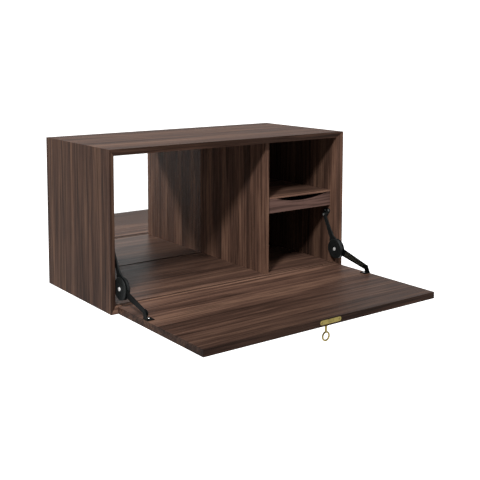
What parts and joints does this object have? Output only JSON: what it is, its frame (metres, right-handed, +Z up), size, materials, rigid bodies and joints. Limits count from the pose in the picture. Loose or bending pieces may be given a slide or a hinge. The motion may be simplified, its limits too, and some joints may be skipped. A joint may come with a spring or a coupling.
{
  "type": "wall-hung fall-front cabinet",
  "caption": "Wall-hung walnut fall-front cabinet with bevelled mitred case, fold-down writing flap on folding brake stays, mirror, partition, scooped drawer, lock and ring key.",
  "frame": {"origin": "midpoint between the two wall pegs, in the plane of the cabinet's rear face", "axes": "+X to the right seen from the front, +Y into the wall, +Z up; the flap opens towards -Y"},
  "size_m": [0.8, 0.7548, 0.4695],
  "materials": {
    "walnut_case": "satin",
    "walnut_flap": "satin",
    "walnut_back": "satin",
    "drawer_wood": "satin",
    "spline_wood": "satin",
    "mirror_glass": "gloss",
    "brass": "satin",
    "key_metal": "satin",
    "steel": "satin",
    "black_stay": "satin",
    "stay_bright": "satin"
  },
  "bodies": {
    "carcase": {"top_board": "walnut_case", "bottom_board": "walnut_case", "left_side": "walnut_case", "right_side": "walnut_case", "hinge_rail": "walnut_case", "partition": "walnut_case", "drawer_shelf": "walnut_case", "back_panel": "walnut_back", "drawer_left_runner": "drawer_wood", "drawer_right_runner": "drawer_wood", "top_left_spline": "spline_wood", "top_right_spline": "spline_wood", "bottom_left_spline": "spline_wood", "bottom_right_spline": "spline_wood", "mirror": "mirror_glass", "strike_plate": "brass", "strike_screw_1": "brass", "strike_screw_2": "brass", "left_hinge_pin": "steel", "right_hinge_pin": "steel", "left_hanger_plate": "steel", "right_hanger_plate": "steel", "left_hanger_screw": "steel", "right_hanger_screw": "steel", "left_stay_bracket": "black_stay", "right_stay_bracket": "black_stay", "left_bracket_screw_1": "stay_bright", "left_bracket_screw_2": "stay_bright", "left_bracket_screw_3": "stay_bright", "right_bracket_screw_1": "stay_bright", "right_bracket_screw_2": "stay_bright", "right_bracket_screw_3": "stay_bright"},
    "flap": {"fall_front": "walnut_flap", "left_hinge_arm": "steel", "right_hinge_arm": "steel", "lock_case": "steel", "lock_faceplate": "brass", "faceplate_screw_1": "brass", "faceplate_screw_2": "brass", "escutcheon": "brass", "left_stay_foot": "black_stay", "right_stay_foot": "black_stay", "left_foot_screw": "stay_bright", "right_foot_screw": "stay_bright"},
    "bolt": {"lock_bolt": "brass"},
    "key": {"key": "key_metal"},
    "drawer": {"drawer_front": "drawer_wood", "drawer_left_side": "drawer_wood", "drawer_right_side": "drawer_wood", "drawer_back": "drawer_wood", "drawer_floor": "drawer_wood"},
    "left_upper_stay": {"left_upper_arm": "black_stay", "left_hub_rivet": "stay_bright"},
    "left_brake": {"left_brake_screw": "stay_bright"},
    "left_lower_stay": {"left_lower_arm": "black_stay"},
    "right_upper_stay": {"right_upper_arm": "black_stay", "right_hub_rivet": "stay_bright"},
    "right_brake": {"right_brake_screw": "stay_bright"},
    "right_lower_stay": {"right_lower_arm": "black_stay"}
  },
  "joints": [
    {"name": "flap_fold", "type": "hinge", "parent": "carcase", "child": "flap", "pos_m": [0, -0.35715, -0.35915], "axis": [1, 0, 0], "range_deg": [-90, 0]},
    {"name": "drawer_slide", "type": "slide", "parent": "carcase", "child": "drawer", "axis": [0, -1, 0], "range_m": [0, 0.22]},
    {"name": "key_turn", "type": "hinge", "parent": "flap", "child": "key", "pos_m": [0, -0.73725, -0.365], "axis": [0, 0, 1], "range_deg": [0, 180]},
    {"name": "lock_bolt_slide", "type": "slide", "parent": "flap", "child": "bolt", "axis": [0, -1, 0], "range_m": [0, 0.008]},
    {"name": "left_upper_turn", "type": "hinge", "parent": "carcase", "child": "left_upper_stay", "pos_m": [-0.3696, -0.3261, -0.201], "axis": [1, 0, 0], "range_deg": [0, 44.91]},
    {"name": "left_lower_turn", "type": "hinge", "parent": "flap", "child": "left_lower_stay", "pos_m": [-0.3738, -0.502, -0.331], "axis": [1, 0, 0], "range_deg": [0, 4.3]},
    {"name": "left_brake_turn", "type": "hinge", "parent": "left_upper_stay", "child": "left_brake", "pos_m": [-0.3658, -0.3785, -0.299], "axis": [-1, 0, 0], "range_deg": [0, 90]},
    {"name": "right_upper_turn", "type": "hinge", "parent": "carcase", "child": "right_upper_stay", "pos_m": [0.3696, -0.3261, -0.201], "axis": [1, 0, 0], "range_deg": [0, 44.91]},
    {"name": "right_lower_turn", "type": "hinge", "parent": "flap", "child": "right_lower_stay", "pos_m": [0.3738, -0.502, -0.331], "axis": [1, 0, 0], "range_deg": [0, 4.3]},
    {"name": "right_brake_turn", "type": "hinge", "parent": "right_upper_stay", "child": "right_brake", "pos_m": [0.3658, -0.3785, -0.299], "axis": [1, 0, 0], "range_deg": [0, 90]}
  ],
  "couplings": [
    {"joint": "key_turn", "follows": "lock_bolt_slide", "rad_per_m": 392.7},
    {"joint": "left_upper_turn", "follows": "flap_fold", "ratio": -0.499},
    {"joint": "left_lower_turn", "follows": "flap_fold", "ratio": -0.0478},
    {"joint": "right_upper_turn", "follows": "flap_fold", "ratio": -0.499},
    {"joint": "right_lower_turn", "follows": "flap_fold", "ratio": -0.0478}
  ]
}
